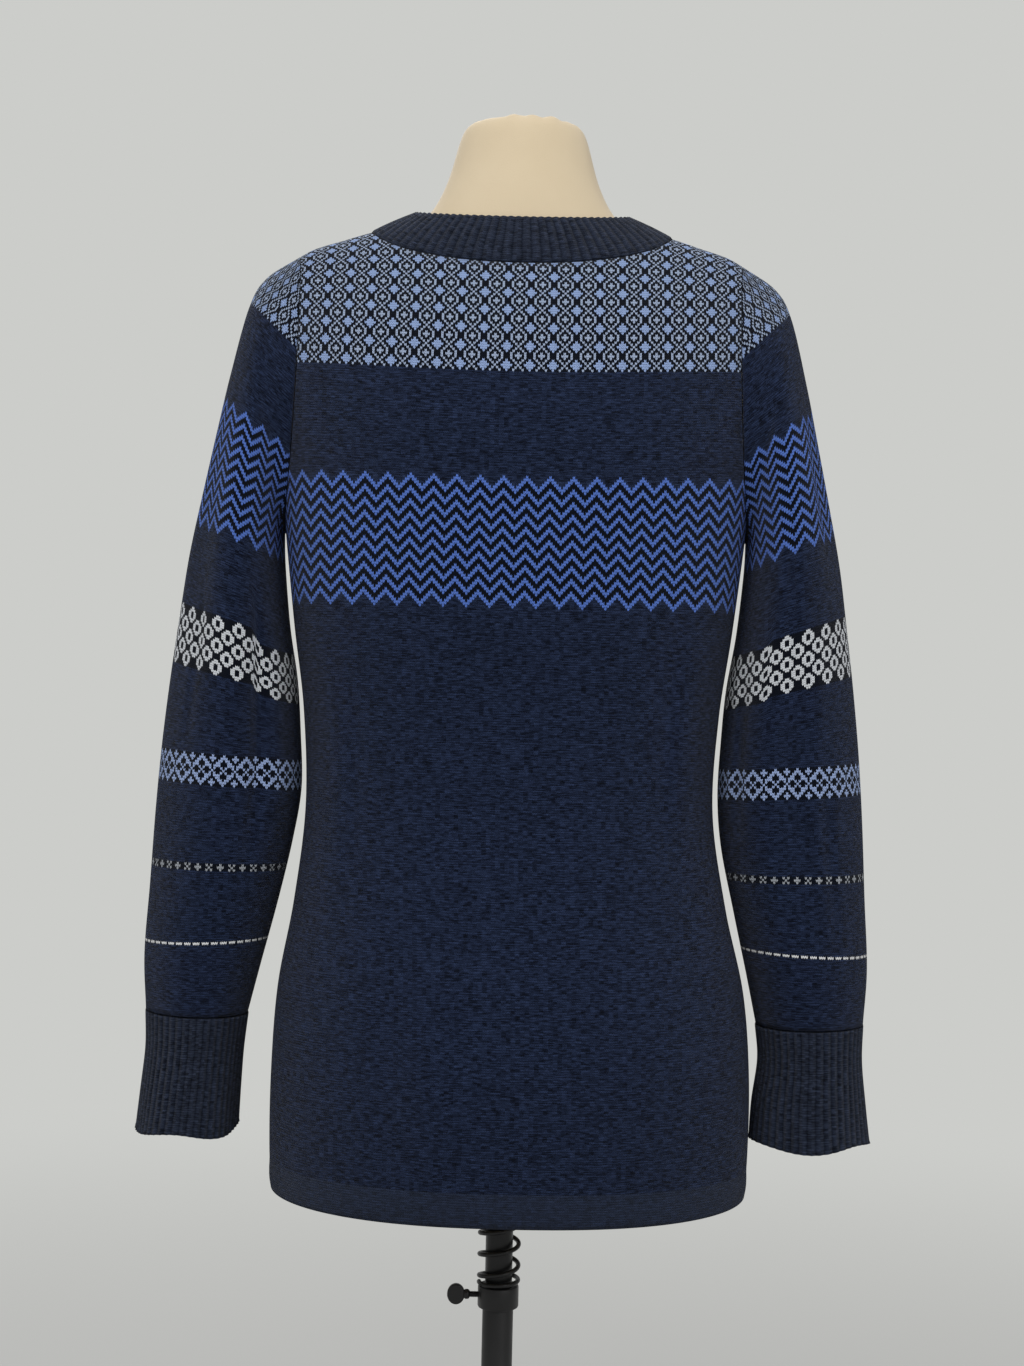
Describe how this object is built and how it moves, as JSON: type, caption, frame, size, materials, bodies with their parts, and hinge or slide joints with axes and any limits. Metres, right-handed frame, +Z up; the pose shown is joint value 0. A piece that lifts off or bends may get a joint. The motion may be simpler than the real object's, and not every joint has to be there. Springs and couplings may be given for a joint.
{
  "type": "fair isle henley sweater on a limbless dress form with stand",
  "caption": "Long-sleeved fine-knit fair isle henley sweater, worn by a limbless dress form on a telescopic pole stand with a round base.",
  "frame": {"origin": "on the floor, in the middle of the part, under the pole", "axes": "+Z up, the front of the garment towards -Y, the wearer's left towards +X"},
  "size_m": [0.541, 0.34, 1.45],
  "materials": {
    "fair_isle_knit": "matte wool, navy heather with light blue, mid blue and pale grey stranded bands",
    "rib_knit": "matte wool rib, dark navy heather",
    "button_plastic": "semi-gloss dark navy",
    "form_cover": "matte cream woven cover",
    "black_steel": "satin black",
    "spring_steel": "dark oiled wire"
  },
  "bodies": {
    "stand": {"base": "black_steel", "lower_tube": "black_steel", "clamp_collar": "black_steel", "spring": "spring_steel"},
    "form": {"upper_tube": "black_steel", "form_flange": "black_steel", "dress_form": "form_cover", "back": "fair_isle_knit", "front": "fair_isle_knit", "sleeve_left": "fair_isle_knit", "sleeve_right": "fair_isle_knit", "cuff_left": "rib_knit", "cuff_right": "rib_knit", "neckband": "rib_knit", "placket_under_band": "rib_knit", "placket_outer_band": "rib_knit", "button_1": "button_plastic", "button_2": "button_plastic", "button_3": "button_plastic"},
    "screw": {"thumb_screw": "black_steel"}
  },
  "joints": [
    {"name": "height_slide", "type": "slide", "parent": "stand", "child": "form", "axis": [0, 0, 1], "range_m": [0, 0.2]},
    {"name": "screw_turn", "type": "hinge", "parent": "stand", "child": "screw", "pos_m": [0.0245, 0, 0.5925], "axis": [1, 0, 0], "range_deg": [0, 360]}
  ]
}
